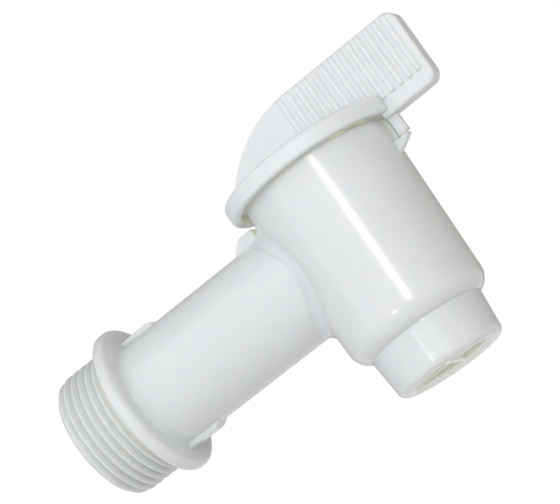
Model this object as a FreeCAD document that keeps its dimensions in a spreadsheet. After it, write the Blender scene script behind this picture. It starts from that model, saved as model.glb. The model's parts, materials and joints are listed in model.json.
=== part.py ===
"""Plastic quarter-turn dispensing tap, as a parametric FreeCAD document (millimetres).

Frame: the origin is the centre of the collar face that seats on the container.
+X runs along the inlet tube towards the valve, +Z points up to the handle and
the spout points down. The valve pieces are drawn about their own turning axis
and placed on it, at the reach of the tube.
"""
import FreeCAD, Part
import math
import os
import re
import Sketcher

SIZES = {
    # inlet spigot
    "thread_major": (26.44, "outer diameter of the 3/4 inch pipe thread"),
    "thread_pitch": (1.814, "distance from crest to crest"),
    "thread_depth": (1.16, "height of the thread over its core"),
    "thread_crest": (0.36, "width of the flat crest"),
    "thread_root": (0.3, "width of the flat left between two ridges"),
    "thread_sink": (0.8, "depth to which a ridge runs on inside the core"),
    "thread_length": (11.75, "spigot from its open end to the collar"),
    "nose_length": (1.637, "plain nose between the open end and the first ridge"),
    "nose_dia": (25.7, "diameter of the plain nose"),
    "nose_slope": (0.6, "length of the slope at the back of the nose"),
    "nose_chamfer": (0.8, "chamfer of the spigot's open end"),
    "inlet_bore": (18.0, "straight bore of the spigot and the tube"),
    "inlet_straight": (24.0, "collar face to the end of the straight bore"),
    "register_width": (0.9, "plain ring beside the collar"),
    "inlet_throat": (15.5, "bore where the tube meets the valve"),
    # collar and tube
    "collar_dia": (31.4, "diameter of the collar"),
    "collar_width": (2.8, "thickness of the collar"),
    "collar_round": (1.15, "rounding of the collar's rim"),
    "tube_dia": (22.4, "outer diameter of the tube"),
    "root_round": (1.0, "fillet between tube and collar"),
    "reach": (54.05, "collar face to the turning axis"),
    "web_length": (10.2, "length of the webs that brace the collar"),
    "web_height": (0.95, "height of the webs over the tube"),
    "web_slope": (3.4, "length of the sloping end of a web"),
    "web_width": (3.8, "width of the webs"),
    "web_round": (0.7, "rounding of the webs"),
    # barrel and spout
    "barrel_top_dia": (30.8, "barrel diameter at its top"),
    "barrel_foot_dia": (28.9, "barrel diameter at its shoulder"),
    "barrel_rise": (15.9, "tube axis up to the barrel's top"),
    "shoulder_drop": (21.0, "tube axis down to the shoulder"),
    "shoulder_round": (4.0, "rounding of the shoulder"),
    "valve_bore": (23.9, "bore that the plug turns in"),
    "seat_drop": (17.5, "tube axis down to the floor of the valve bore"),
    "spout_root_dia": (23.8, "spout diameter at the shoulder"),
    "spout_mouth_dia": (22.3, "spout diameter at its mouth"),
    "spout_drop": (29.4, "tube axis down to the spout's mouth"),
    "lip_round": (1.6, "rounding of the spout's lip"),
    "outlet_bore": (17.6, "bore of the spout"),
    "ledge_bore": (15.8, "narrower bore over the straightener"),
    # lugs on the body
    "post_gap": (0.8, "slot between barrel and rear post"),
    "post_length": (5.4, "rear post along the tube"),
    "post_rise": (13.3, "tube axis up to the post's top"),
    "post_width": (6.0, "rear post across the tube"),
    "post_slope": (2.3, "length of the post's sloping back"),
    "lug_drop": (2.75, "height of the front lug's gusset"),
    "lug_setback": (0.35, "tab's outer face back to the lug's edge"),
    "lug_edge": (0.35, "thickness of the front lug's edge"),
    "lug_width": (2.0, "width of the front lug and of the rib"),
    "rib_set": (1.6, "middle of the lug to the middle of the rib behind it"),
    "rib_gap": (0.55, "space between the tab's inner face and the rib"),
    "tab_gap": (0.35, "space between the handle's tab and the front lug"),
    # valve plug
    "plug_clearance": (0.05, "radial running clearance of the plug"),
    "plug_wall": (2.0, "wall of the hollow plug"),
    "plug_lift": (0.3, "space under the plug"),
    "web_over_port": (0.85, "space between the window and the plug's web"),
    "plug_web": (2.0, "thickness of the plug's web"),
    "key_width": (12.8, "side of the square key under the cap"),
    "key_clearance": (0.1, "play of the key in its socket"),
    "bead_height": (0.4, "height of the snap bead in the valve bore"),
    "bead_width": (0.9, "width of the snap bead"),
    "bead_clearance": (0.3, "space between the bead and its groove"),
    "bead_rise": (14.0, "tube axis up to the snap bead"),
    # seals
    "ring_section": (1.6, "thickness of the rubber rings"),
    "ring_clearance": (0.05, "space between the rings and the bore"),
    "ring_play": (0.15, "play of the rings in their grooves"),
    "upper_ring_rise": (11.4, "tube axis up to the upper ring"),
    "lower_ring_drop": (12.6, "tube axis down to the lower ring"),
    "port_seal_rim": (1.5, "width of the seal around the inlet port"),
    "port_seal_depth": (1.2, "thickness of the port seal"),
    "port_seal_play": (0.05, "play of the port seal in its recess"),
    "port_seal_land": (0.25, "land between the port and its seal"),
    # flow straightener
    "vane_length": (4.6, "height of the straightener"),
    "vane_recess": (0.8, "mouth up to the straightener"),
    "vane_thickness": (1.2, "thickness of the vanes"),
    "vane_ring": (0.9, "wall of the straightener's ring"),
    "vane_clearance": (0.05, "play of the straightener in the spout"),
    "vane_count": (4, "number of vanes"),
    # handle
    "skirt_gap": (1.4, "space between the barrel's top and the skirt"),
    "cap_rise": (18.3, "tube axis up to the top of the cap"),
    "cap_plate": (1.8, "thickness of the cap's plate"),
    "cap_round": (0.9, "rounding of the cap's upper edge"),
    "skirt_depth": (3.4, "height of the cap's skirt"),
    "skirt_wall": (1.7, "thickness of the skirt"),
    "grip_rise": (29.7, "tube axis up to the grip's top edge"),
    "grip_thickness": (4.5, "thickness of the grip between its ridges"),
    "grip_reach": (29.4, "turning axis to the grip's tip"),
    "grip_sole": (13.85, "tube axis up to the underside of the overhang"),
    "skirt_round": (0.5, "rounding of the skirt's lower edge"),
    "grip_inset": (0.5, "cap's rim in to the foot of the grip's back"),
    "grip_shoulder": (9.5, "turning axis back to the corner of the sloping back"),
    "back_round": (24.4, "rounding of the grip's back"),
    "tip_round": (2.3, "rounding of the grip's tip corners"),
    "grip_round": (0.6, "rounding of the grip's long edges"),
    "ridge_count": (13, "number of ridges"),
    "ridge_start": (2.25, "turning axis to the first ridge"),
    "ridge_end": (2.07, "last ridge to the grip's tip"),
    "ridge_base": (1.3, "width of a ridge at its foot"),
    "ridge_crest": (0.5, "width of a ridge at its top"),
    "ridge_height": (0.4, "height of a ridge"),
    "ridge_foot": (17.0, "tube axis up to the lower end of the ridges"),
    "ridge_margin": (0.45, "plain strip over the upper end of the ridges"),
    "tab_width": (1.2, "width of the tab under the grip"),
    "tab_wall": (2.15, "tab from its inner to its outer face"),
    "tab_lead": (0.35, "cap's rim out to the tab's outer face"),
    "tab_foot": (10.1, "tube axis up to the tab's lower end"),
    # quarter-turn stop under the cap
    "turn_range": (90, "turn between the two stops, in degrees"),
    "nib_angle": (14, "width of the stop nib, in degrees"),
    "stop_play": (1.5, "play of the nib at each end, in degrees"),
    "nib_depth": (1.3, "height of the nib under the plate"),
    "nib_wall": (1.9, "thickness of the nib"),
    "nib_clearance": (0.35, "space around the nib"),
}

CAP_RADIUS = "(barrel_top_dia / 2 + skirt_gap + skirt_wall)"
TAB_FACE = f"({CAP_RADIUS} + tab_lead)"

document = FreeCAD.newDocument("dispensing_tap")
sheet = document.addObject("Spreadsheet::Sheet", "Sizes")
for row, (alias, (size, meaning)) in enumerate(SIZES.items(), start=1):
    sheet.set(f"A{row}", meaning)
    sheet.set(f"B{row}", str(size))
    sheet.setAlias(f"B{row}", alias)
document.recompute()


def tied(expression):
    """Return the expression with every size name pointed at the sheet."""
    return re.sub(r"[a-z_]+", lambda word: f"Sizes.{word[0]}", expression)


def number(expression):
    """Return what an expression of size names comes to, in millimetres."""
    return float(sheet.evalExpression(tied(expression)))


def new_body(label, on_axis=True):
    """Start a body with its own label, on the turning axis unless told otherwise."""
    body = document.addObject("PartDesign::Body", label)
    body.Label = label
    if on_axis:
        body.setExpression(".Placement.Base.x", tied("reach"))
    return body


def attach(body, sketch, role):
    """Lay a sketch on one of its own body's origin planes."""
    plane = next(item for item in body.Origin.OriginFeatures if item.Role == role)
    sketch.AttachmentSupport = [(plane, "")]
    sketch.MapMode = "FlatFace"


def pin_down(sketch, line, direction, expression):
    """Hold the start of a line at an expression along X or Y."""
    value = number(expression)
    if abs(value) < 1e-9:
        axis = -2 if direction == "X" else -1
        sketch.addConstraint(Sketcher.Constraint("PointOnObject", line, 1, axis))
        return
    index = sketch.addConstraint(Sketcher.Constraint("Distance" + direction, -1, 1, line, 1, value))
    name = f"corner{line}{direction}"
    sketch.renameConstraint(index, name)
    sketch.setExpression(f".Constraints.{name}", tied(expression))


def outline(body, name, role, corners, shift=None):
    """Draw a closed outline whose corners are pairs of size expressions."""
    sketch = body.newObject("Sketcher::SketchObject", name)
    attach(body, sketch, role)
    for axis, expression in (shift or {}).items():
        sketch.setExpression(f".AttachmentOffset.Base.{axis}", tied(expression))
    points = [FreeCAD.Vector(number(x), number(y), 0) for x, y in corners]
    ends = points[1:] + points[:1]
    for start, end in zip(points, ends):
        sketch.addGeometry(Part.LineSegment(start, end), False)
    for line in range(len(points)):
        follower = (line + 1) % len(points)
        sketch.addConstraint(Sketcher.Constraint("Coincident", line, 2, follower, 1))
    for line, (x, y) in enumerate(corners):
        pin_down(sketch, line, "X", x)
        pin_down(sketch, line, "Y", y)
    return sketch


def disc(body, name, role, diameter):
    """Draw a circle about the origin of one of the body's planes."""
    sketch = body.newObject("Sketcher::SketchObject", name)
    attach(body, sketch, role)
    circle = Part.Circle(FreeCAD.Vector(0, 0, 0), FreeCAD.Vector(0, 0, 1), number(diameter) / 2)
    sketch.addGeometry(circle, False)
    sketch.addConstraint(Sketcher.Constraint("Coincident", 0, 3, -1, 1))
    index = sketch.addConstraint(Sketcher.Constraint("Diameter", 0, number(diameter)))
    sketch.renameConstraint(index, "diameter")
    sketch.setExpression(".Constraints.diameter", tied(diameter))
    return sketch


def turned(body, name, sketch, axis="V_Axis", cut=False, sector=None):
    """Revolve a sketch about its own axis, all round or through a sector."""
    kind = "PartDesign::Groove" if cut else "PartDesign::Revolution"
    feature = body.newObject(kind, name)
    feature.Profile = sketch
    feature.ReferenceAxis = (sketch, [axis])
    if sector:
        feature.Midplane = True
        feature.setExpression("Angle", tied(sector))
    else:
        feature.Angle = 360
    return feature


def padded(body, name, sketch, length):
    """Pad a sketch to both sides of its plane."""
    feature = body.newObject("PartDesign::Pad", name)
    feature.Profile = sketch
    feature.Midplane = True
    feature.setExpression("Length", tied(length))
    return feature


def rounded(body, name, radius, choose, kind="PartDesign::Fillet"):
    """Round or bevel the edges of the body's tip that the chooser accepts."""
    document.recompute()
    base = body.Tip
    edges = [f"Edge{index}" for index, edge in enumerate(base.Shape.Edges, start=1) if choose(edge)]
    if not edges:
        raise RuntimeError(f"{name} found no edge")
    feature = body.newObject(kind, name)
    feature.Base = (base, edges)
    feature.setExpression("Radius" if kind.endswith("Fillet") else "Size", tied(radius))
    return feature


def ring_at(axis, place, diameter):
    """Return a chooser of circular edges about an axis, at a place along it."""
    pick = {"X": lambda point: point.x, "Z": lambda point: point.z}[axis]

    def choose(edge):
        curve = edge.Curve
        if not isinstance(curve, Part.Circle):
            return False
        same_size = abs(curve.Radius - number(diameter) / 2) < 0.01
        same_place = abs(pick(curve.Center) - number(place)) < 0.01
        return same_size and same_place and abs(pick(curve.Axis)) > 0.99

    return choose


# ---------------------------------------------------------------- tap body
def collar_webs(body):
    """Rounded webs that brace the collar, above and below the tube, as one block."""
    inside = "tube_dia / 2 - 1.5 * web_height"
    top = "tube_dia / 2 + web_height"
    tail = "collar_width + web_length"
    corners = [
        ("collar_width / 2", f"-({top})"),
        ("collar_width / 2", top),
        (f"{tail} - web_slope", top),
        (tail, inside),
        (tail, f"-({inside})"),
        (f"{tail} - web_slope", f"-({top})"),
    ]
    padded(body, "Webs", outline(body, "WebOutline", "XZ_Plane", corners), "web_width")

    def long_edge(edge):
        ends = [vertex.Point for vertex in edge.Vertexes]
        return all(abs(end.z) > number("tube_dia / 2") for end in ends) and abs(ends[0].y - ends[1].y) < 0.01

    rounded(body, "WebEdges", "web_round", long_edge)


def inlet_outside(body):
    """Spigot core, collar and tube, turned about the inlet axis."""
    core = "thread_major / 2 - thread_depth"
    corners = [
        ("-thread_length", "0"),
        ("-thread_length", "nose_dia / 2 - nose_chamfer"),
        ("-thread_length + nose_chamfer", "nose_dia / 2"),
        ("nose_length - nose_slope - thread_length", "nose_dia / 2"),
        ("nose_length - thread_length", core),
        ("-register_width", core),
        ("-register_width", "thread_major / 2"),
        ("0", "thread_major / 2"),
        ("0", "collar_dia / 2"),
        ("collar_width", "collar_dia / 2"),
        ("collar_width", "tube_dia / 2"),
        ("reach", "tube_dia / 2"),
        ("reach", "0"),
    ]
    sketch = outline(body, "InletOutline", "XZ_Plane", corners)
    turned(body, "Inlet", sketch, axis="H_Axis")
    rounded(body, "CollarRim", "collar_round", ring_at("X", "collar_width", "collar_dia"))
    rounded(body, "CollarSeatRim", "collar_round", ring_at("X", "0", "collar_dia"))
    rounded(body, "CollarRoot", "root_round", ring_at("X", "collar_width", "tube_dia"))


def inlet_thread(body):
    """Row of thread ridges, as many as fit between the nose and the register."""
    core = "(thread_major / 2 - thread_depth)"
    first = "nose_length - thread_length + thread_pitch / 2"
    foot = "(thread_pitch - thread_root) / 2"
    tip = "thread_crest / 2"
    corners = [
        (f"{first} - {foot}", core),
        (f"{first} - {tip}", "thread_major / 2"),
        (f"{first} + {tip}", "thread_major / 2"),
        (f"{first} + {foot}", core),
        (f"{first} + {foot}", f"{core} - thread_sink"),
        (f"{first} - {foot}", f"{core} - thread_sink"),
    ]
    ridge = turned(body, "ThreadRidge", outline(body, "ThreadOutline", "XZ_Plane", corners), axis="H_Axis")
    document.recompute()
    thread = body.newObject("PartDesign::LinearPattern", "Thread")
    thread.Originals = [ridge]
    axis = next(item for item in body.Origin.OriginFeatures if item.Role == "X_Axis")
    thread.Direction = (axis, [""])
    ridges = f"floor({tied('(thread_length - nose_length - register_width) / thread_pitch')})"
    thread.setExpression("Length", f"{tied('thread_pitch')} * ({ridges} - 1)")
    thread.setExpression("Occurrences", ridges)
    body.Tip = thread


def barrel_outside(body):
    """Drafted barrel with its rounded shoulder, and the spout under it."""
    corners = [
        ("0", "barrel_rise"),
        ("barrel_top_dia / 2", "barrel_rise"),
        ("barrel_foot_dia / 2", "-shoulder_drop"),
        ("0", "-shoulder_drop"),
    ]
    sketch = outline(body, "BarrelOutline", "XZ_Plane", corners, {"x": "reach"})
    turned(body, "Barrel", sketch)
    rounded(body, "Shoulder", "shoulder_round", ring_at("Z", "-shoulder_drop", "barrel_foot_dia"))

    corners = [
        ("0", "-seat_drop"),
        ("spout_root_dia / 2", "-seat_drop"),
        ("spout_root_dia / 2", "-shoulder_drop"),
        ("spout_mouth_dia / 2", "-spout_drop"),
        ("0", "-spout_drop"),
    ]
    sketch = outline(body, "SpoutOutline", "XZ_Plane", corners, {"x": "reach"})
    turned(body, "Spout", sketch)
    rounded(body, "Lip", "lip_round", ring_at("Z", "-spout_drop", "spout_mouth_dia"))


def body_lugs(body):
    """Rear post on the tube and front lug on the barrel."""
    front = "-barrel_top_dia / 2 - post_gap"
    floor = "tube_dia / 2 - 2 * web_height"
    corners = [
        (front, floor),
        (front, "post_rise"),
        (f"{front} - post_length + post_slope", "post_rise"),
        (f"{front} - post_length", "tube_dia / 2"),
        (f"{front} - post_length", floor),
    ]
    padded(body, "Post", outline(body, "PostOutline", "XZ_Plane", corners, {"x": "reach"}), "post_width")

    root = "barrel_foot_dia / 2 - plug_wall / 2"
    seat = "tab_foot - tab_gap"
    corners = [
        (root, seat),
        (f"{TAB_FACE} - lug_setback", seat),
        (f"{TAB_FACE} - lug_setback", f"{seat} - lug_edge"),
        (root, f"{seat} - lug_edge - lug_drop"),
    ]
    padded(body, "Lug", outline(body, "LugOutline", "XZ_Plane", corners, {"x": "reach"}), "lug_width")

    edge = f"{TAB_FACE} - tab_wall - rib_gap"
    top = "cap_rise - skirt_depth - tab_gap"
    corners = [(root, seat), (edge, seat), (edge, top), (root, top)]
    sketch = outline(body, "RibOutline", "XZ_Plane", corners, {"x": "reach", "z": "-rib_set"})
    padded(body, "Rib", sketch, "lug_width")


def body_hollows(body):
    """Inlet bore, valve bore with its snap bead, outlet, port recess and stop notch."""
    corners = [
        ("-thread_length", "0"),
        ("-thread_length", "inlet_bore / 2"),
        ("inlet_straight", "inlet_bore / 2"),
        ("reach - valve_bore / 2", "inlet_throat / 2"),
        ("reach", "inlet_throat / 2"),
        ("reach", "0"),
    ]
    sketch = outline(body, "InletBoreOutline", "XZ_Plane", corners)
    turned(body, "InletBore", sketch, axis="H_Axis", cut=True)

    bead = "valve_bore / 2 - bead_height"
    corners = [
        ("0", "barrel_rise"),
        ("valve_bore / 2", "barrel_rise"),
        ("valve_bore / 2", "bead_rise + bead_width / 2 + bead_height"),
        (bead, "bead_rise + bead_width / 2"),
        (bead, "bead_rise - bead_width / 2"),
        ("valve_bore / 2", "bead_rise - bead_width / 2 - bead_height"),
        ("valve_bore / 2", "-seat_drop"),
        ("ledge_bore / 2", "-seat_drop"),
        ("ledge_bore / 2", "-spout_drop + vane_recess + vane_length"),
        ("outlet_bore / 2", "-spout_drop + vane_recess + vane_length"),
        ("outlet_bore / 2", "-spout_drop"),
        ("0", "-spout_drop"),
    ]
    sketch = outline(body, "ValveBoreOutline", "XZ_Plane", corners, {"x": "reach"})
    turned(body, "ValveBore", sketch, cut=True)

    inner = "inlet_throat / 2 + port_seal_land"
    corners = [
        ("reach - valve_bore / 2 - port_seal_depth", inner),
        ("reach - valve_bore / 2 - port_seal_depth", f"{inner} + port_seal_rim"),
        ("reach", f"{inner} + port_seal_rim"),
        ("reach", inner),
    ]
    sketch = outline(body, "PortRecessOutline", "XZ_Plane", corners)
    turned(body, "PortRecess", sketch, axis="H_Axis", cut=True)

    nib = "barrel_top_dia / 2 - nib_clearance"
    corners = [
        (f"{nib} - nib_wall - nib_clearance", "barrel_rise"),
        (f"{nib} - nib_wall - nib_clearance", "cap_rise - cap_plate - nib_depth - nib_clearance"),
        ("barrel_top_dia / 2 + nib_clearance", "cap_rise - cap_plate - nib_depth - nib_clearance"),
        ("barrel_top_dia / 2 + nib_clearance", "barrel_rise"),
    ]
    sketch = outline(body, "StopNotchOutline", "XZ_Plane", corners, {"x": "reach"})
    turned(body, "StopNotch", sketch, cut=True, sector="turn_range + nib_angle + 2 * stop_play")


def tap_body():
    """Inlet spigot, collar, tube, barrel and spout, moulded in one piece."""
    body = new_body("tap_body", on_axis=False)
    collar_webs(body)
    inlet_outside(body)
    inlet_thread(body)
    barrel_outside(body)
    body_lugs(body)
    body_hollows(body)
    return body


# ---------------------------------------------------------------- valve pieces
def valve_plug():
    """Hollow plug: keyed at the top, open at the foot, with a window in its side."""
    body = new_body("valve_plug")
    outside = "valve_bore / 2 - plug_clearance"
    crown = "cap_rise - cap_plate"
    groove = "valve_bore / 2 - ring_section - ring_clearance - ring_play"
    half = "(ring_section / 2 + ring_play)"
    waist = "valve_bore / 2 - bead_height - bead_clearance"
    corners = [
        ("0", crown),
        (outside, crown),
        (outside, "bead_rise + bead_width / 2 + bead_height + bead_clearance"),
        (waist, "bead_rise + bead_width / 2 + bead_clearance"),
        (waist, "bead_rise - bead_width / 2 - bead_clearance"),
        (outside, "bead_rise - bead_width / 2 - bead_height - bead_clearance"),
        (outside, f"upper_ring_rise + {half}"),
        (groove, f"upper_ring_rise + {half}"),
        (groove, f"upper_ring_rise - {half}"),
        (outside, f"upper_ring_rise - {half}"),
        (outside, f"-lower_ring_drop + {half}"),
        (groove, f"-lower_ring_drop + {half}"),
        (groove, f"-lower_ring_drop - {half}"),
        (outside, f"-lower_ring_drop - {half}"),
        (outside, "-seat_drop + plug_lift"),
        ("0", "-seat_drop + plug_lift"),
    ]
    turned(body, "Outside", outline(body, "PlugOutline", "XZ_Plane", corners))

    ceiling = "inlet_throat / 2 + web_over_port"
    inside = f"{outside} - plug_wall"
    corners = [
        ("0", ceiling),
        (inside, ceiling),
        (inside, "-seat_drop + plug_lift"),
        ("0", "-seat_drop + plug_lift"),
    ]
    turned(body, "Hollow", outline(body, "HollowOutline", "XZ_Plane", corners), cut=True)

    socket = "key_width / 2 + key_clearance"
    corners = [
        (f"-({socket})", f"-({socket})"),
        (socket, f"-({socket})"),
        (socket, socket),
        (f"-({socket})", socket),
    ]
    sketch = outline(body, "SocketOutline", "XY_Plane", corners, {"z": crown})
    pocket = body.newObject("PartDesign::Pocket", "Socket")
    pocket.Profile = sketch
    pocket.setExpression("Length", tied(f"{crown} - ({ceiling}) - plug_web"))

    window = body.newObject("PartDesign::Pocket", "Window")
    window.Profile = disc(body, "WindowOutline", "XZ_Plane", "inlet_throat")
    window.Reversed = False
    window.setExpression("Length", tied("valve_bore"))
    return body


def seal_ring(label, height):
    """Rubber ring in a groove of the plug."""
    ring = document.addObject("Part::Torus", label)
    ring.Label = label
    ring.setExpression("Radius1", tied("valve_bore / 2 - ring_clearance - ring_section / 2"))
    ring.setExpression("Radius2", tied("ring_section / 2"))
    ring.setExpression(".Placement.Base.x", tied("reach"))
    ring.setExpression(".Placement.Base.z", tied(height))
    return ring


def port_seal():
    """Saddle-shaped rubber ring around the inlet port, curved to the plug."""
    body = new_body("port_seal", on_axis=False)
    inner = "inlet_throat / 2 + port_seal_land + port_seal_play"
    outer = "inlet_throat / 2 + port_seal_land + port_seal_rim - port_seal_play"
    back = "reach - valve_bore / 2 - port_seal_depth"
    front = "reach - valve_bore / 4"
    corners = [(back, inner), (back, outer), (front, outer), (front, inner)]
    turned(body, "Ring", outline(body, "SealOutline", "XZ_Plane", corners), axis="H_Axis")
    corners = [
        ("0", f"({outer}) + port_seal_rim"),
        ("valve_bore / 2", f"({outer}) + port_seal_rim"),
        ("valve_bore / 2", f"-({outer}) - port_seal_rim"),
        ("0", f"-({outer}) - port_seal_rim"),
    ]
    sketch = outline(body, "FaceOutline", "XZ_Plane", corners, {"x": "reach"})
    turned(body, "Face", sketch, cut=True)
    return body


def flow_straightener():
    """Ring with crossed vanes, pushed into the spout."""
    body = new_body("flow_straightener")
    outer = "outlet_bore / 2 - vane_clearance"
    foot = "-spout_drop + vane_recess"
    corners = [
        (f"{outer} - vane_ring", foot),
        (outer, foot),
        (outer, f"{foot} + vane_length"),
        (f"{outer} - vane_ring", f"{foot} + vane_length"),
    ]
    turned(body, "Ring", outline(body, "RingOutline", "XZ_Plane", corners))
    corners = [
        ("0", foot),
        (f"{outer} - vane_ring / 2", foot),
        (f"{outer} - vane_ring / 2", f"{foot} + vane_length"),
        ("0", f"{foot} + vane_length"),
    ]
    vane = padded(body, "Vane", outline(body, "VaneOutline", "XZ_Plane", corners), "vane_thickness")
    document.recompute()
    vanes = body.newObject("PartDesign::PolarPattern", "Vanes")
    vanes.Originals = [vane]
    axis = next(item for item in body.Origin.OriginFeatures if item.Role == "Z_Axis")
    vanes.Axis = (axis, [""])
    vanes.Angle = 360
    vanes.setExpression("Occurrences", tied("vane_count"))
    body.Tip = vanes
    return body


# ---------------------------------------------------------------- handle
def handle_cap(body):
    """Round cap with a skirt that hangs over the barrel's top."""
    floor = "cap_rise - cap_plate"
    skirt = "cap_rise - skirt_depth"
    corners = [
        ("0", "cap_rise"),
        (CAP_RADIUS, "cap_rise"),
        (CAP_RADIUS, skirt),
        (f"{CAP_RADIUS} - skirt_wall", skirt),
        (f"{CAP_RADIUS} - skirt_wall", floor),
        ("0", floor),
    ]
    turned(body, "Cap", outline(body, "CapOutline", "XZ_Plane", corners))
    rounded(body, "CapEdge", "cap_round", ring_at("Z", "cap_rise", f"2 * {CAP_RADIUS}"))
    rounded(body, "SkirtEdge", "skirt_round", ring_at("Z", skirt, f"2 * {CAP_RADIUS}"))


def handle_grip(body):
    """Upright grip that overhangs the front of the cap."""
    inside = f"{CAP_RADIUS} - skirt_wall"
    deep = "cap_rise - 0.95 * cap_plate"
    corners = [
        (f"-{CAP_RADIUS} + grip_inset", deep),
        ("-grip_shoulder", "grip_rise"),
        ("grip_reach", "grip_rise"),
        ("grip_reach", "grip_sole"),
        (inside, "grip_sole"),
        (inside, deep),
    ]
    padded(body, "Grip", outline(body, "GripOutline", "XZ_Plane", corners), "grip_thickness")

    def across(x, z):
        def choose(edge):
            ends = [vertex.Point for vertex in edge.Vertexes]
            if len(ends) != 2 or abs(ends[0].y - ends[1].y) < 1:
                return False
            return all(abs(end.x - number(x)) < 0.01 and abs(end.z - number(z)) < 0.01 for end in ends)
        return choose

    rounded(body, "GripBack", "back_round", across("-grip_shoulder", "grip_rise"))
    rounded(body, "GripTipTop", "tip_round", across("grip_reach", "grip_rise"))
    rounded(body, "GripTipSole", "tip_round", across("grip_reach", "grip_sole"))

    def long_edge(edge):
        middle = edge.valueAt((edge.FirstParameter + edge.LastParameter) / 2)
        side = abs(abs(middle.y) - number("grip_thickness") / 2) < 0.01
        flat = all(abs(abs(v.Point.y) - number("grip_thickness") / 2) < 0.01 for v in edge.Vertexes)
        outside = middle.z > number("cap_rise") + 0.5 or middle.x > number(CAP_RADIUS) + 0.5
        return side and flat and outside

    rounded(body, "GripEdges", "grip_round", long_edge)


def handle_ridges(body):
    """Row of upright finger ridges on both faces of the grip."""
    foot = "ridge_base / 2"
    crest = "ridge_crest / 2"
    face = "grip_thickness / 2"
    top = f"{face} + ridge_height"
    centre = "ridge_start"
    corners = [
        (f"{centre} - {foot}", f"-({face})"),
        (f"{centre} - {crest}", f"-({top})"),
        (f"{centre} + {crest}", f"-({top})"),
        (f"{centre} + {foot}", f"-({face})"),
        (f"{centre} + {foot}", face),
        (f"{centre} + {crest}", top),
        (f"{centre} - {crest}", top),
        (f"{centre} - {foot}", face),
    ]
    sketch = outline(body, "RidgeOutline", "XY_Plane", corners, {"z": "ridge_foot"})
    ridge = body.newObject("PartDesign::Pad", "Ridge")
    ridge.Profile = sketch
    ridge.setExpression("Length", tied("grip_rise - ridge_margin - ridge_foot"))
    document.recompute()
    ridges = body.newObject("PartDesign::LinearPattern", "Ridges")
    ridges.Originals = [ridge]
    axis = next(item for item in body.Origin.OriginFeatures if item.Role == "X_Axis")
    ridges.Direction = (axis, [""])
    ridges.setExpression("Length", tied("grip_reach - ridge_start - ridge_end"))
    ridges.setExpression("Occurrences", tied("ridge_count"))
    body.Tip = ridges


def handle_underside(body):
    """Square key for the plug, hanging tab and stop nib."""
    side = "key_width / 2"
    crown = "cap_rise - cap_plate"
    corners = [(f"-{side}", f"-{side}"), (side, f"-{side}"), (side, side), (f"-{side}", side)]
    sketch = outline(body, "KeyOutline", "XY_Plane", corners, {"z": f"{crown} + cap_plate / 2"})
    key = body.newObject("PartDesign::Pad", "Key")
    key.Profile = sketch
    key.Reversed = True
    ceiling = "inlet_throat / 2 + web_over_port"
    key.setExpression("Length", tied(f"{crown} + cap_plate / 2 - ({ceiling}) - plug_web - plug_lift"))

    corners = [
        (f"{TAB_FACE} - tab_wall", "tab_foot"),
        (TAB_FACE, "tab_foot"),
        (TAB_FACE, "grip_sole + grip_round"),
        (f"{CAP_RADIUS} - skirt_wall / 2", "cap_rise - cap_plate"),
        (f"{TAB_FACE} - tab_wall", "cap_rise - cap_plate"),
    ]
    padded(body, "Tab", outline(body, "TabOutline", "XZ_Plane", corners), "tab_width")

    nib = "barrel_top_dia / 2 - nib_clearance"
    corners = [
        (f"{nib} - nib_wall", f"{crown} + cap_plate / 2"),
        (nib, f"{crown} + cap_plate / 2"),
        (nib, f"{crown} - nib_depth"),
        (f"{nib} - nib_wall", f"{crown} - nib_depth"),
    ]
    sketch = outline(body, "NibOutline", "XZ_Plane", corners)
    sketch.AttachmentOffset = FreeCAD.Placement(
        FreeCAD.Vector(0, 0, 0), FreeCAD.Rotation(FreeCAD.Vector(0, 1, 0), -number("turn_range / 2"))
    )
    turned(body, "Nib", sketch, sector="nib_angle")


def turn_handle():
    """Cap, grip, key, tab and stop nib, moulded in one piece."""
    body = new_body("turn_handle")
    handle_grip(body)
    handle_cap(body)
    handle_ridges(body)
    handle_underside(body)
    return body


# ---------------------------------------------------------------- build and write
pieces = [
    tap_body(),
    port_seal(),
    flow_straightener(),
    valve_plug(),
    seal_ring("upper_seal_ring", "upper_ring_rise"),
    seal_ring("lower_seal_ring", "-lower_ring_drop"),
    turn_handle(),
]
document.recompute()
for item in document.Objects:
    if "Invalid" in item.State or "Error" in item.State:
        raise RuntimeError(f"{item.Label} did not compute")
os.makedirs("parts", exist_ok=True)
for piece in pieces:
    shape = piece.Shape
    if shape.isNull() or not shape.isValid():
        raise RuntimeError(f"{piece.Label} has no sound shape")
    print(f"{piece.Label}: {len(shape.Solids)} solid, {shape.Volume:.1f} mm3")
    shape.exportStep(f"parts/{piece.Label}.step")
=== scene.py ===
"""White quarter-turn dispensing tap: finishes, fine details, studio and camera.

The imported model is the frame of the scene. The row frame has its origin at the
centre of the collar face that seats on the container, +X along the inlet tube
towards the valve and +Z up along the valve's turning axis. Lengths are metres
unless a name says otherwise.
"""
import json
import logging
import math
from dataclasses import dataclass, replace
from enum import Enum
from typing import Any

import bpy
from mathutils import Matrix, Vector


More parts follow.
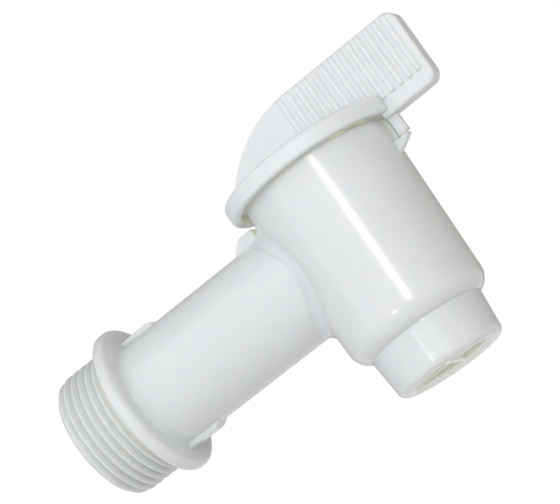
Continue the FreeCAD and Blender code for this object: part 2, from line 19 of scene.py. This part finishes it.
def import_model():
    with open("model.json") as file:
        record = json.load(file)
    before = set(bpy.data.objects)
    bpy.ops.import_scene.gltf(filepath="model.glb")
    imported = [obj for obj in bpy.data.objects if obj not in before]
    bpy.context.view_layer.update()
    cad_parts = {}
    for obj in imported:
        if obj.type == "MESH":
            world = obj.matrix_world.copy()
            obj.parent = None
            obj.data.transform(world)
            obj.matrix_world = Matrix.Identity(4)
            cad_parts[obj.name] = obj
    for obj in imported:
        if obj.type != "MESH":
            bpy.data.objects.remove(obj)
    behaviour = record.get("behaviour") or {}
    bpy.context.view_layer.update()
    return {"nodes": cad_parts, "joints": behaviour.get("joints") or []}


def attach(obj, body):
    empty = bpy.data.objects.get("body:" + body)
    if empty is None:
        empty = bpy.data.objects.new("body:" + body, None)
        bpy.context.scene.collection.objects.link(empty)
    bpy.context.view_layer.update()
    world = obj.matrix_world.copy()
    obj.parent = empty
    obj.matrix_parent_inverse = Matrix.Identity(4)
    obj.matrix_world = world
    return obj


LOG = logging.getLogger("dispensing_tap")
MM = 0.001
WHITE = "#FFFFFF"

# Sockets of a colour Mix node, which share their names with the node's other sockets.
MIX_FIRST = 6
MIX_SECOND = 7
MIX_RESULT = 2


def linear(hex_colour: str) -> tuple[float, float, float, float]:
    """Turn an sRGB hex colour into linear values.

    Args:
        hex_colour: six hex digits, with or without a leading hash.

    Returns:
        Linear red, green, blue and an alpha of 1.
    """
    digits = hex_colour.lstrip("#")
    channels = [int(digits[place:place + 2], 16) / 255 for place in (0, 2, 4)]
    curve = [value / 12.92 if value <= 0.04045 else ((value + 0.055) / 1.055) ** 2.4 for value in channels]
    return (curve[0], curve[1], curve[2], 1.0)


def per_metre(size_mm: float) -> float:
    """Turn a feature size into a texture scale.

    Args:
        size_mm: real size of one feature, in millimetres.

    Returns:
        Features per metre.
    """
    return 1.0 / (size_mm * MM)


def add_node(tree: Any, kind: str, settings: dict[str, Any] | None = None,
             links: dict[Any, Any] | None = None) -> Any:
    """Add a shader node with its settings and incoming links.

    Args:
        tree: node tree to add to.
        kind: node type name without the common prefix.
        settings: node attributes, or input sockets by name or index.
        links: input socket, by name or index, to the output that feeds it.

    Returns:
        The new node.
    """
    node = tree.nodes.new("ShaderNode" + kind)
    for key, value in (settings or {}).items():
        if isinstance(key, int) or key in node.inputs:
            node.inputs[key].default_value = value
        else:
            setattr(node, key, value)
    for key, output in (links or {}).items():
        tree.links.new(output, node.inputs[key])
    return node


def new_material(name: str) -> Any:
    """Make an empty material that is ready for shader nodes.

    Args:
        name: name of the material.

    Returns:
        The material, with an empty node tree.
    """
    material = bpy.data.materials.new(name)
    material.use_nodes = True
    material.node_tree.nodes.clear()
    return material


def noise(tree: Any, place: Any, size_mm: float, detail: float, **settings: float) -> Any:
    """Add a noise pattern of a real size.

    Args:
        tree: node tree to add to.
        place: output with the position in the row frame.
        size_mm: size of one feature, in millimetres.
        detail: octaves of finer noise on top.
        settings: further inputs of the noise, by name.

    Returns:
        Output with the noise, from 0 to 1.
    """
    inputs = {"Scale": per_metre(size_mm), "Detail": detail, **settings}
    return add_node(tree, "TexNoise", inputs, {"Vector": place}).outputs["Fac"]


def spread(tree: Any, value: Any, source: tuple[float, float], target: tuple[float, float],
           **settings: str) -> Any:
    """Add a map from one range of values to another.

    Args:
        tree: node tree to add to.
        value: output to map.
        source: the two values that are mapped.
        target: what each of the two becomes.
        settings: further settings of the map, by name.

    Returns:
        Output with the mapped value.
    """
    limits = {"From Min": source[0], "From Max": source[1], "To Min": target[0], "To Max": target[1]}
    return add_node(tree, "MapRange", {**limits, **settings}, {"Value": value}).outputs[0]


def mix_colours(tree: Any, share: Any, first: Any, second: str) -> Any:
    """Add a mix of two colours.

    Args:
        tree: node tree to add to.
        share: output with the share of the second colour.
        first: the first colour, as hex digits or as the output of a node.
        second: the second colour, as hex digits.

    Returns:
        Output with the mixed colour.
    """
    settings = {"data_type": "RGBA", MIX_SECOND: linear(second)}
    links = {0: share}
    if isinstance(first, str):
        settings[MIX_FIRST] = linear(first)
    else:
        links[MIX_FIRST] = first
    return add_node(tree, "Mix", settings, links).outputs[MIX_RESULT]


class Slot(Enum):
    """Material slots of the record."""

    BODY = "body_plastic"


class LampShape(Enum):
    """Outlines of an area lamp."""

    BOX = "RECTANGLE"
    OVAL = "ELLIPSE"


@dataclass(frozen=True)
class Passage:
    """Inside of the spout, where light comes in through the thin wall around it.

    The passage is a cylinder on the turning axis, and the material there gets a painted glow that stands
    for this light. The glow fades out from the foot to the top.
    """

    axis_x: float
    radius: float = 8.9 * MM
    top: float = -19.0 * MM
    foot: float = -25.0 * MM
    # strength of the painted glow at the passage's foot
    light: float = 0.2

    def add_light(self, tree: Any, place: Any) -> Any:
        """Add the passage's painted glow to a material.

        Args:
            tree: the material's node tree.
            place: output with the position in the row frame.

        Returns:
            Output with the strength of the painted glow.
        """
        across = add_node(tree, "VectorMath", {"operation": "MULTIPLY", 1: (1.0, 1.0, 0.0)}, {0: place})
        off_axis = add_node(tree, "VectorMath", {"operation": "DISTANCE", 1: (self.axis_x, 0.0, 0.0)},
                            {0: across.outputs["Vector"]})
        inside = add_node(tree, "Math", {"operation": "LESS_THAN", 1: self.radius},
                          {0: off_axis.outputs["Value"]})
        height = add_node(tree, "SeparateXYZ", None, {"Vector": place}).outputs["Z"]
        low = spread(tree, height, (self.foot, self.top), (self.light, 0.0))
        return add_node(tree, "Math", {"operation": "MULTIPLY"},
                        {0: inside.outputs[0], 1: low}).outputs[0]


@dataclass(frozen=True)
class MouldedPolyethylene:
    """Injection-moulded white polyethylene.

    It gives the eye a wax-like, slightly see-through white with a broad soft gloss and
    faint ripples where the melt flowed and cooled. Painted grey shade is mixed into its corners
    and grooves, and a painted warm shade with a painted glow into its deep slots, standing for
    light that has to pass through the wall. Values that end in _mm are real sizes in millimetres.
    """

    name: str
    face: str = "#E8EAEB"  # polyethylene with white pigment
    cloudy: str = "#E6E8E8"  # the same plastic where two fronts of the melt met
    shade: str = "#C4C7C4"  # painted grey shade in corners and grooves
    painted_slot_shade: str = "#D3D4BC"  # painted warm shade in deep slots, standing for light that passes through the wall
    # strength of the painted glow in deep slots
    glow: float = 0.34
    # share of the painted grey shade in corners and grooves
    painted_shade_strength: float = 0.16
    roughness: float = 0.15
    duller: float = 0.02
    glossier: float = 0.015
    ior: float = 1.51
    see_in: float = 0.6
    see_in_mm: float = 2.2
    see_in_colours: tuple[float, float, float] = (1.0, 0.86, 0.62)
    edge_mm: float = 0.3
    edge_rays: int = 4
    flow_mm: float = 11.0
    flow_levels: tuple[float, float] = (0.3, 0.7)
    cloud_levels: tuple[float, float] = (0.45, 0.95)
    mottle_mm: float = 1.8
    mottle_share: float = 0.35
    ripple_mm: float = 4.5
    ripple_depth_mm: float = 0.1
    ripple_strength: float = 0.1
    grain_mm: float = 0.35
    grain_depth_mm: float = 0.02
    grain_strength: float = 0.12
    # ambient-occlusion reach and levels that place the painted grey shade and the painted warm shade
    recess_mm: float = 3.0
    recess_rays: int = 12
    recess_shaded: tuple[float, float] = (0.4, 0.95)
    recess_deep: tuple[float, float] = (0.04, 0.36)
    passage: Passage | None = None

    def build(self) -> Any:
        """Make the material.

        Returns:
            The finished material.
        """
        material = new_material(self.name)
        tree = material.node_tree
        place = add_node(tree, "TexCoord").outputs["Object"]
        flow = noise(tree, place, self.flow_mm, detail=3.0, Roughness=0.45, Distortion=0.6)
        recess = add_node(tree, "AmbientOcclusion",
                          {"samples": self.recess_rays, "Distance": self.recess_mm * MM}).outputs["AO"]
        # deep marks the slots that get the painted warm shade and the painted glow
        deep = spread(tree, recess, self.recess_deep, (1.0, 0.0), interpolation_type="SMOOTHSTEP")
        colour = self.add_colour(tree, place, flow, recess, deep)
        gloss = spread(tree, flow, self.flow_levels,
                       (self.roughness - self.glossier, self.roughness + self.duller))
        shader = add_node(tree, "BsdfPrincipled", {
            "IOR": self.ior,
            "Subsurface Weight": self.see_in,
            "Subsurface Radius": self.see_in_colours,
            "Subsurface Scale": self.see_in_mm * MM,
        }, {
            "Base Color": colour,
            "Roughness": gloss,
            "Normal": self.add_relief(tree, place),
            # painted glow: the material's own colour emitted in deep slots and in the spout's passage
            "Emission Color": colour,
            "Emission Strength": self.add_glow(tree, place, deep),
        })
        add_node(tree, "OutputMaterial", None, {"Surface": shader.outputs["BSDF"]})
        return material

    def add_colour(self, tree: Any, place: Any, flow: Any, recess: Any, deep: Any) -> Any:
        """Add the cloudy white with its painted grey shade and its painted warm shade in deep slots.

        Args:
            tree: the material's node tree.
            place: output with the position in the row frame.
            flow: output with the pattern of the melt's flow.
            recess: output that falls from 1 in the open to 0 in a slot.
            deep: output that is 1 in the deepest slots.

        Returns:
            Output with the colour.
        """
        mottle = noise(tree, place, self.mottle_mm, detail=2.0)
        clouds = add_node(tree, "Math", {"operation": "MULTIPLY_ADD", 1: self.mottle_share},
                          {0: mottle, 2: flow}).outputs[0]
        cloudiness = spread(tree, clouds, self.cloud_levels, (0.0, 1.0))
        surface = mix_colours(tree, cloudiness, self.face, self.cloudy)
        # painted shade: grey mixed into corners and grooves where ambient occlusion falls
        shaded = spread(tree, recess, self.recess_shaded, (self.painted_shade_strength, 0.0))
        with_painted_shade = mix_colours(tree, shaded, surface, self.shade)
        # painted warm shade in the deepest slots
        return mix_colours(tree, deep, with_painted_shade, self.painted_slot_shade)

    def add_relief(self, tree: Any, place: Any) -> Any:
        """Add the worn edges, the flow ripples and the fine grain of the mould.

        Args:
            tree: the material's node tree.
            place: output with the position in the row frame.

        Returns:
            Output with the surface's normal.
        """
        worn = add_node(tree, "Bevel", {"samples": self.edge_rays, "Radius": self.edge_mm * MM})
        ripple = noise(tree, place, self.ripple_mm, detail=1.0)
        soft = add_node(tree, "Bump",
                        {"Strength": self.ripple_strength, "Distance": self.ripple_depth_mm * MM},
                        {"Height": ripple, "Normal": worn.outputs["Normal"]})
        grain = noise(tree, place, self.grain_mm, detail=2.0)
        fine = add_node(tree, "Bump",
                        {"Strength": self.grain_strength, "Distance": self.grain_depth_mm * MM},
                        {"Height": grain, "Normal": soft.outputs["Normal"]})
        return fine.outputs["Normal"]

    def add_glow(self, tree: Any, place: Any, deep: Any) -> Any:
        """Add the painted glow in deep slots and in the spout's passage, which stands for light coming
        through the wall.

        Args:
            tree: the material's node tree.
            place: output with the position in the row frame.
            deep: output that is 1 in the deepest slots.

        Returns:
            Output with the strength of the light.
        """
        # painted glow in deep slots
        through = add_node(tree, "Math", {"operation": "MULTIPLY", 1: self.glow}, {0: deep}).outputs[0]
        if self.passage:
            return add_node(tree, "Math", {"operation": "MAXIMUM"},
                            {0: through, 1: self.passage.add_light(tree, place)}).outputs[0]
        return through


@dataclass(frozen=True)
class MouldedNitrile:
    """Compression-moulded black nitrile rubber: dark, dull and faintly dusty."""

    name: str
    face: str = "#1B1B1C"  # nitrile rubber filled with carbon black
    dust: str = "#3A3A38"  # the pale bloom on it
    dusty: float = 0.5
    dust_levels: tuple[float, float] = (0.5, 0.8)
    roughness: float = 0.55
    ior: float = 1.52
    dust_mm: float = 0.8
    relief_mm: float = 0.03
    relief_strength: float = 0.2

    def build(self) -> Any:
        """Make the material.

        Returns:
            The finished material.
        """
        material = new_material(self.name)
        tree = material.node_tree
        place = add_node(tree, "TexCoord").outputs["Object"]
        dust = noise(tree, place, self.dust_mm, detail=4.0)
        amount = spread(tree, dust, self.dust_levels, (0.0, self.dusty))
        colour = mix_colours(tree, amount, self.face, self.dust)
        relief = add_node(tree, "Bump", {"Strength": self.relief_strength, "Distance": self.relief_mm * MM},
                          {"Height": dust})
        shader = add_node(tree, "BsdfPrincipled", {"IOR": self.ior, "Roughness": self.roughness},
                          {"Base Color": colour, "Normal": relief.outputs["Normal"]})
        add_node(tree, "OutputMaterial", None, {"Surface": shader.outputs["BSDF"]})
        return material


def direction(azimuth: float, elevation: float) -> Vector:
    """Find the direction towards a place around the tap.

    Args:
        azimuth: degrees round from the tap's front (-Y), positive towards the valve (+X).
        elevation: degrees over the horizon.

    Returns:
        Unit vector from the tap towards that place.
    """
    turn = math.radians(azimuth)
    lift = math.radians(elevation)
    return Vector((math.sin(turn) * math.cos(lift), -math.cos(turn) * math.cos(lift), math.sin(lift)))


def dress(node: Any, material: Any) -> None:
    """Put one material on every face of a CAD node.

    Args:
        node: the CAD node's object.
        material: the finish to show.
    """
    if not node.material_slots:
        node.data.materials.append(material)
    for place in node.material_slots:
        place.material = material


def make_mesh(name: str, points: list[Vector], faces: list[tuple[int, ...]], material: Any) -> Any:
    """Make a smooth-shaded mesh object.

    Args:
        name: name of the object.
        points: corner points in the row frame.
        faces: corner numbers of each face.
        material: finish of the whole mesh.

    Returns:
        The new object, linked to the scene.
    """
    mesh = bpy.data.meshes.new(name)
    mesh.from_pydata([tuple(point) for point in points], [], faces)
    mesh.polygons.foreach_set("use_smooth", [True] * len(mesh.polygons))
    mesh.materials.append(material)
    mesh.update()
    piece = bpy.data.objects.new(name, mesh)
    bpy.context.scene.collection.objects.link(piece)
    return piece


@dataclass
class TapBody:
    """The moulding with spigot, collar, tube, barrel and spout, and the soft blend of tube into barrel.

    The heights are measured from the tube's axis. The blend runs on past its two edges
    by blend_run, where it sinks under the moulding by blend_sink.
    """

    axis_x: float
    tube_radius: float = 11.2 * MM
    barrel_top_radius: float = 15.4 * MM
    barrel_foot_radius: float = 14.45 * MM
    barrel_top: float = 15.9 * MM
    barrel_foot: float = -21.0 * MM
    blend_radius: float = 3.2 * MM
    blend_run: float = 0.25 * MM
    blend_sink: float = 0.02 * MM
    around: int = 144
    across: int = 12
    finish: MouldedPolyethylene = MouldedPolyethylene("moulded polyethylene, tap body")

    def build(self, nodes: dict[str, Any]) -> list[str]:
        """Dress the body moulding and lay the blend.

        Args:
            nodes: the CAD nodes by name.

        Returns:
            Names of the pieces that were dressed or made.
        """
        # the body gets the painted glow inside the spout's passage
        material = replace(self.finish, passage=Passage(self.axis_x)).build()
        dress(nodes["tap_body"], material)
        blend = self.build_blend(material)
        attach(blend, "tap")
        return ["tap_body", blend.name]

    def barrel_radius(self, height: float) -> float:
        """Find how wide the drafted barrel is at a height.

        Args:
            height: height over the tube's axis.

        Returns:
            The barrel's radius at that height.
        """
        share = (height - self.barrel_foot) / (self.barrel_top - self.barrel_foot)
        return self.barrel_foot_radius + share * (self.barrel_top_radius - self.barrel_foot_radius)

    def build_blend(self, material: Any) -> Any:
        """Make the rolling-ball blend between tube and barrel.

        Args:
            material: the body's finish.

        Returns:
            The blend's object.
        """
        points: list[Vector] = []
        for step in range(self.around):
            points += self.blend_arc(2 * math.pi * step / self.around)
        row = len(points) // self.around
        faces = []
        for step in range(self.around):
            here = step * row
            after = (step + 1) % self.around * row
            faces += [(here + place, after + place, after + place + 1, here + place + 1)
                      for place in range(row - 1)]
        return make_mesh("tube_blend", points, faces, material)

    def blend_arc(self, turn: float) -> list[Vector]:
        """Lay out one arc of the blend, from the tube over to the barrel.

        Args:
            turn: angle around the tube from the top, in radians.

        Returns:
            The arc's points with the sunk point before and after it.
        """
        outward = Vector((0.0, math.sin(turn), math.cos(turn)))
        centre = outward * (self.tube_radius + self.blend_radius)
        reach = self.barrel_radius(centre.z) + self.blend_radius
        centre.x = self.axis_x - math.sqrt(reach ** 2 - centre.y ** 2)
        to_tube = -outward
        to_barrel = Vector((self.axis_x - centre.x, -centre.y, 0.0)).normalized()
        opening = to_tube.angle(to_barrel)
        inward = (to_barrel - to_tube * math.cos(opening)).normalized()
        back = (to_tube - to_barrel * math.cos(opening)).normalized()
        sunk = self.blend_radius + self.blend_sink
        arc = [centre + to_tube * sunk - inward * self.blend_run]
        for place in range(self.across + 1):
            angle = opening * place / self.across
            toward = to_tube * math.cos(angle) + inward * math.sin(angle)
            arc.append(centre + toward * self.blend_radius)
        arc.append(centre + to_barrel * sunk - back * self.blend_run)
        return arc


@dataclass
class TurnHandle:
    """The cap with its ridged grip."""

    # the handle gets a stronger painted grey shade in its ridges
    finish: MouldedPolyethylene = MouldedPolyethylene(
        "moulded polyethylene, handle", face="#ECEEF0", cloudy="#E8EAEB", roughness=0.42, painted_shade_strength=0.42)

    def build(self, nodes: dict[str, Any]) -> list[str]:
        """Dress the handle.

        Args:
            nodes: the CAD nodes by name.

        Returns:
            Names of the pieces that were dressed or made.
        """
        dress(nodes["turn_handle"], self.finish.build())
        return ["turn_handle"]


@dataclass
class ValveInside:
    """The plug and the straightener, in duller plastic than the body, and the rubber seals."""

    axis_x: float
    plug: MouldedPolyethylene = MouldedPolyethylene(
        "moulded polyethylene, plug", face="#DEDFDD", cloudy="#D3D4CF", roughness=0.3)
    insert: MouldedPolyethylene = MouldedPolyethylene(
        "moulded polyethylene, straightener", face="#DADBD4", cloudy="#CFCFC4", roughness=0.32)
    seal: MouldedNitrile = MouldedNitrile("moulded nitrile rubber, seals")
    seals: tuple[str, ...] = ("port_seal", "upper_seal_ring", "lower_seal_ring")

    def build(self, nodes: dict[str, Any]) -> list[str]:
        """Dress the inner pieces.

        Args:
            nodes: the CAD nodes by name.

        Returns:
            Names of the pieces that were dressed or made.
        """
        dress(nodes["valve_plug"], self.plug.build())
        # the straightener gets the painted glow inside the spout's passage
        dress(nodes["flow_straightener"], replace(self.insert, passage=Passage(self.axis_x)).build())
        rubber = self.seal.build()
        for name in self.seals:
            dress(nodes[name], rubber)
        return ["valve_plug", "flow_straightener", *self.seals]


@dataclass(frozen=True)
class Lamp:
    """An area lamp, placed by its direction from the tap.

    Angles are in degrees, sizes and the distance in metres and the power in watts.
    """

    name: str
    azimuth: float
    elevation: float
    distance: float
    width: float
    height: float
    power: float
    shape: LampShape = LampShape.BOX
    tint: str = WHITE

    def build(self, target: Vector) -> None:
        """Hang the lamp so that it faces the target.

        Args:
            target: the point that the lamp faces.
        """
        data = bpy.data.lights.new(self.name, "AREA")
        data.shape = self.shape.value
        data.size = self.width
        data.size_y = self.height
        data.energy = self.power
        data.color = linear(self.tint)[:3]
        lamp = bpy.data.objects.new(self.name, data)
        away = direction(self.azimuth, self.elevation)
        lamp.location = target + away * self.distance
        lamp.rotation_euler = away.to_track_quat("Z", "Y").to_euler()
        bpy.context.scene.collection.objects.link(lamp)


@dataclass
class Studio:
    """White floor and surround, soft lamps and the camera.

    The camera stands in a direction from the pivot, given in degrees, rolls about its
    line of sight and is shifted aside and above in its own image plane. The surround's
    light falls evenly from bright_fill to dim_fill towards dim_side.
    """

    pivot: Vector
    azimuth: float = 18.43
    elevation: float = -11.66
    roll: float = 34.62
    distance: float = 0.476
    aside: float = -0.0151
    above: float = -0.00313
    lens: float = 166.9
    sensor: float = 36.0
    near: float = 0.01
    dim_side: tuple[float, float, float] = (0.62, 0.7, 0.35)
    bright_fill: float = 0.66
    dim_fill: float = 0.38
    bright_tint: str = "#F1F6FB"  # daylight through white cloth
    dim_tint: str = "#F6F3EA"  # the same light off a cream wall
    floor_level: float = -0.16
    floor_size: float = 3.0
    paper: str = "#F2F2F2"  # matt white background paper
    lamps: tuple[Lamp, ...] = (
        # name, azimuth, elevation, distance, width, height, power, shape
        Lamp("key softbox, lower half", 20.4, 7.0, 0.9, 0.13, 0.07, 0.75, LampShape.OVAL),
        Lamp("key softbox, upper half", 16.2, 10.3, 0.9, 0.035, 0.036, 0.03, LampShape.OVAL),
        Lamp("second softbox", -8.0, -6.2, 0.9, 0.045, 0.035, 0.28),
        Lamp("front softbox", 16.0, 4.0, 1.0, 0.7, 0.7, 1.9),
        Lamp("side softbox", 58.0, 0.0, 1.0, 0.8, 0.8, 0.9),
        Lamp("high softbox", -32.0, 26.0, 1.0, 1.0, 1.0, 2.2, tint="#F8FAFF"),
    )

    def build(self) -> None:
        """Set up the stage, the lamps and the camera."""
        self.build_floor()
        self.build_world()
        for lamp in self.lamps:
            lamp.build(self.pivot)
        self.build_camera()
        bpy.context.scene.view_settings.view_transform = "Standard"

    @staticmethod
    def seen_straight(tree: Any, first: str, *rest: str) -> Any:
        """Add a switch for the rays that see the white background itself.

        Args:
            tree: node tree to add to.
            first: name of a kind of ray.
            rest: names of further kinds of rays.

        Returns:
            Output that is 1 for these kinds of rays, else 0.
        """
        path = add_node(tree, "LightPath")
        seen = path.outputs[first]
        for name in rest:
            seen = add_node(tree, "Math", {"operation": "MAXIMUM"},
                            {0: seen, 1: path.outputs[name]}).outputs[0]
        return seen

    def build_floor(self) -> None:
        """Lay the white floor far under the tap."""
        half = self.floor_size / 2
        corners = [(-half, -half, 0), (half, -half, 0), (half, half, 0), (-half, half, 0)]
        mesh = bpy.data.meshes.new("studio floor")
        mesh.from_pydata(corners, [], [(0, 1, 2, 3)])
        floor = bpy.data.objects.new("studio_floor", mesh)
        floor.location = (self.pivot.x, 0, self.floor_level)
        bpy.context.scene.collection.objects.link(floor)
        material = new_material("matt white paper")
        tree = material.node_tree
        seen = self.seen_straight(tree, "Is Camera Ray", "Is Glossy Ray", "Is Transmission Ray")
        paper = add_node(tree, "BsdfDiffuse", {"Color": linear(self.paper)})
        glow = add_node(tree, "Emission", {"Color": linear(WHITE), "Strength": 1.0})
        both = add_node(tree, "MixShader", None, {0: seen, 1: paper.outputs[0], 2: glow.outputs[0]})
        add_node(tree, "OutputMaterial", None, {"Surface": both.outputs[0]})
        mesh.materials.append(material)

    def build_world(self) -> None:
        """Give the surround its even white, and a calmer light on the tap."""
        world = bpy.data.worlds.new("white studio")
        bpy.context.scene.world = world
        world.use_nodes = True
        tree = world.node_tree
        tree.nodes.clear()
        seen = self.seen_straight(tree, "Is Camera Ray", "Is Transmission Ray")
        place = add_node(tree, "TexCoord").outputs["Generated"]
        slant = add_node(tree, "VectorMath", {"operation": "DOT_PRODUCT", 1: self.dim_side},
                         {0: place}).outputs["Value"]
        level = spread(tree, slant, (-1.0, 1.0), (self.bright_fill, self.dim_fill))
        side = spread(tree, slant, (-1.0, 1.0), (0.0, 1.0))
        tint = mix_colours(tree, side, self.bright_tint, self.dim_tint)
        light = add_node(tree, "Background", None, {"Color": tint, "Strength": level})
        white = add_node(tree, "Background", {"Color": linear(WHITE), "Strength": 1.0})
        both = add_node(tree, "MixShader", None, {0: seen, 1: light.outputs[0], 2: white.outputs[0]})
        add_node(tree, "OutputWorld", None, {"Surface": both.outputs[0]})

    def build_camera(self) -> None:
        """Place the camera low in front of the tap, rolled so that the spout points to the lower right."""
        turn = math.radians(self.azimuth)
        roll = math.radians(self.roll)
        away = direction(self.azimuth, self.elevation)
        level = Vector((math.cos(turn), math.sin(turn), 0.0))
        rise = away.cross(level)
        across = level * math.cos(roll) - rise * math.sin(roll)
        upward = level * math.sin(roll) + rise * math.cos(roll)
        spot = self.pivot + across * self.aside + upward * self.above + away * self.distance
        turned = Matrix((across, upward, away)).transposed().to_4x4()
        data = bpy.data.cameras.new("studio camera")
        data.sensor_width = self.sensor
        data.lens = self.lens
        data.clip_start = self.near
        camera = bpy.data.objects.new("studio_camera", data)
        camera.matrix_world = Matrix.Translation(spot) @ turned
        bpy.context.scene.collection.objects.link(camera)
        bpy.context.scene.camera = camera


def main() -> None:
    """Dress the tap, set up the studio and report each piece."""
    logging.basicConfig(level=logging.INFO, format="%(message)s")
    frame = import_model()
    axis_x = frame["joints"][0]["pos_m"][0]
    for assembly in (TapBody(axis_x), TurnHandle(), ValveInside(axis_x)):
        for piece in assembly.build(frame["nodes"]):
            LOG.info("piece ready: %s", piece)
    Studio(Vector((axis_x, 0.0, 0.0))).build()


if __name__ == "__main__":
    main()
